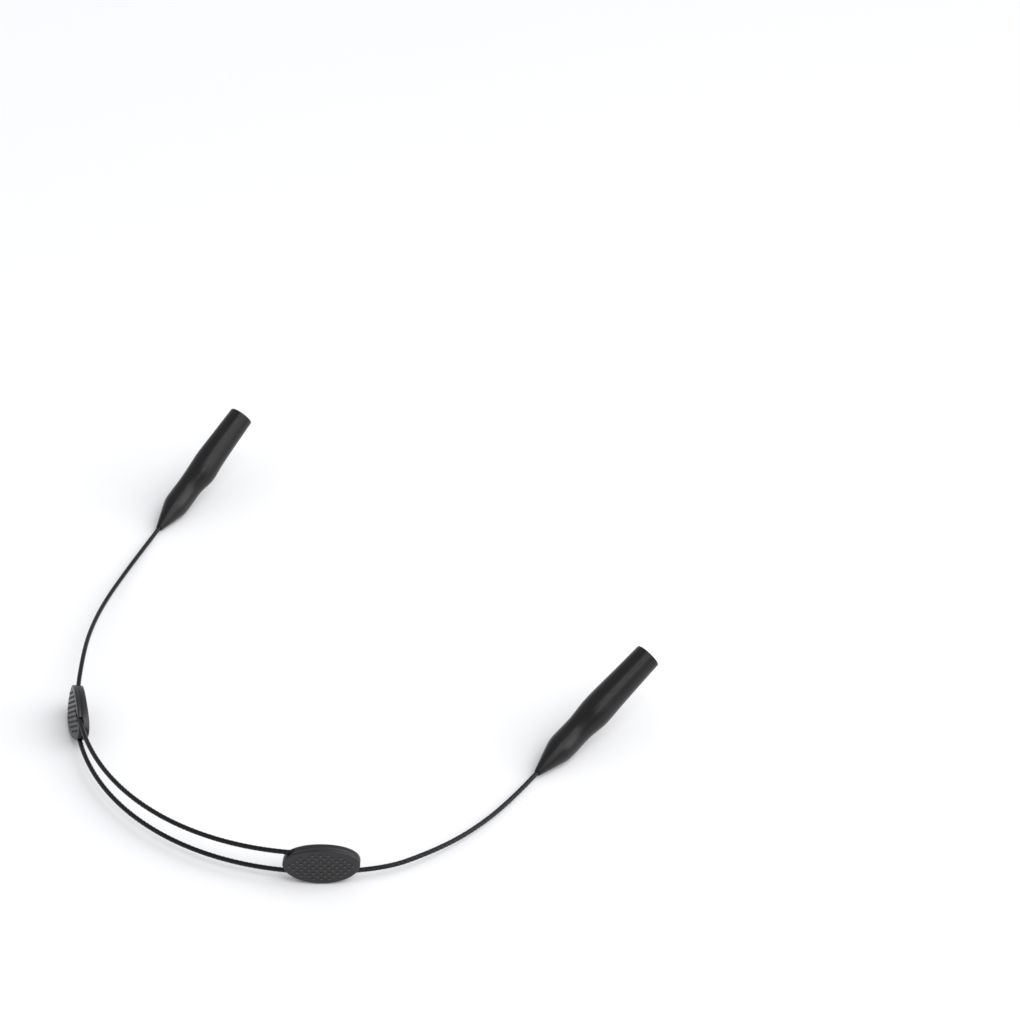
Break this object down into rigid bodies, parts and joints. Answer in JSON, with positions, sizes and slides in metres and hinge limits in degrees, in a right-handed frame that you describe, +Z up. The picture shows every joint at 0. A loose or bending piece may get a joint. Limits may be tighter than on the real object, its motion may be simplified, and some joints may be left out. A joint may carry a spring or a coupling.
{
  "type": "eyewear retainer strap",
  "caption": "Adjustable eyewear retainer: soft temple sleeves on coated wire ropes that run through a pair of textured oval sliders, standing as an open loop.",
  "frame": {"origin": "on the table, under the middle of the box round the sleeves and sliders", "axes": "+Z up, +Y from the back of the neck towards the spectacles, +X along the loop's width, towards the sleeve called right"},
  "size_m": [0.1512, 0.1131, 0.0198],
  "materials": {
    "sleeve_silicone": "satin moulded silicone rubber",
    "slider_polymer": "matt moulded thermoplastic with a raised grip texture",
    "rope_coat": "glossy black polymer coat over laid steel wire rope",
    "bush_rubber": "matt nitrile rubber",
    "crimp_steel": "drawn stainless steel tube, swaged"
  },
  "bodies": {
    "left_half": {"left_temple_sleeve": "sleeve_silicone", "left_sleeve_crimp": "crimp_steel", "left_rope": "rope_coat", "right_slider_front_shell": "slider_polymer", "right_slider_back_shell": "slider_polymer", "right_slider_friction_bush": "bush_rubber", "right_slider_end_ferrule": "crimp_steel"},
    "right_half": {"right_temple_sleeve": "sleeve_silicone", "right_sleeve_crimp": "crimp_steel", "right_rope": "rope_coat", "left_slider_front_shell": "slider_polymer", "left_slider_back_shell": "slider_polymer", "left_slider_friction_bush": "bush_rubber", "left_slider_end_ferrule": "crimp_steel"}
  },
  "joints": [
    {"name": "loop_adjust", "type": "hinge", "parent": "left_half", "child": "right_half", "pos_m": [0.0177, 0.0032, 0.005], "axis": [0, 0, 1], "range_deg": [-5, 62]}
  ]
}
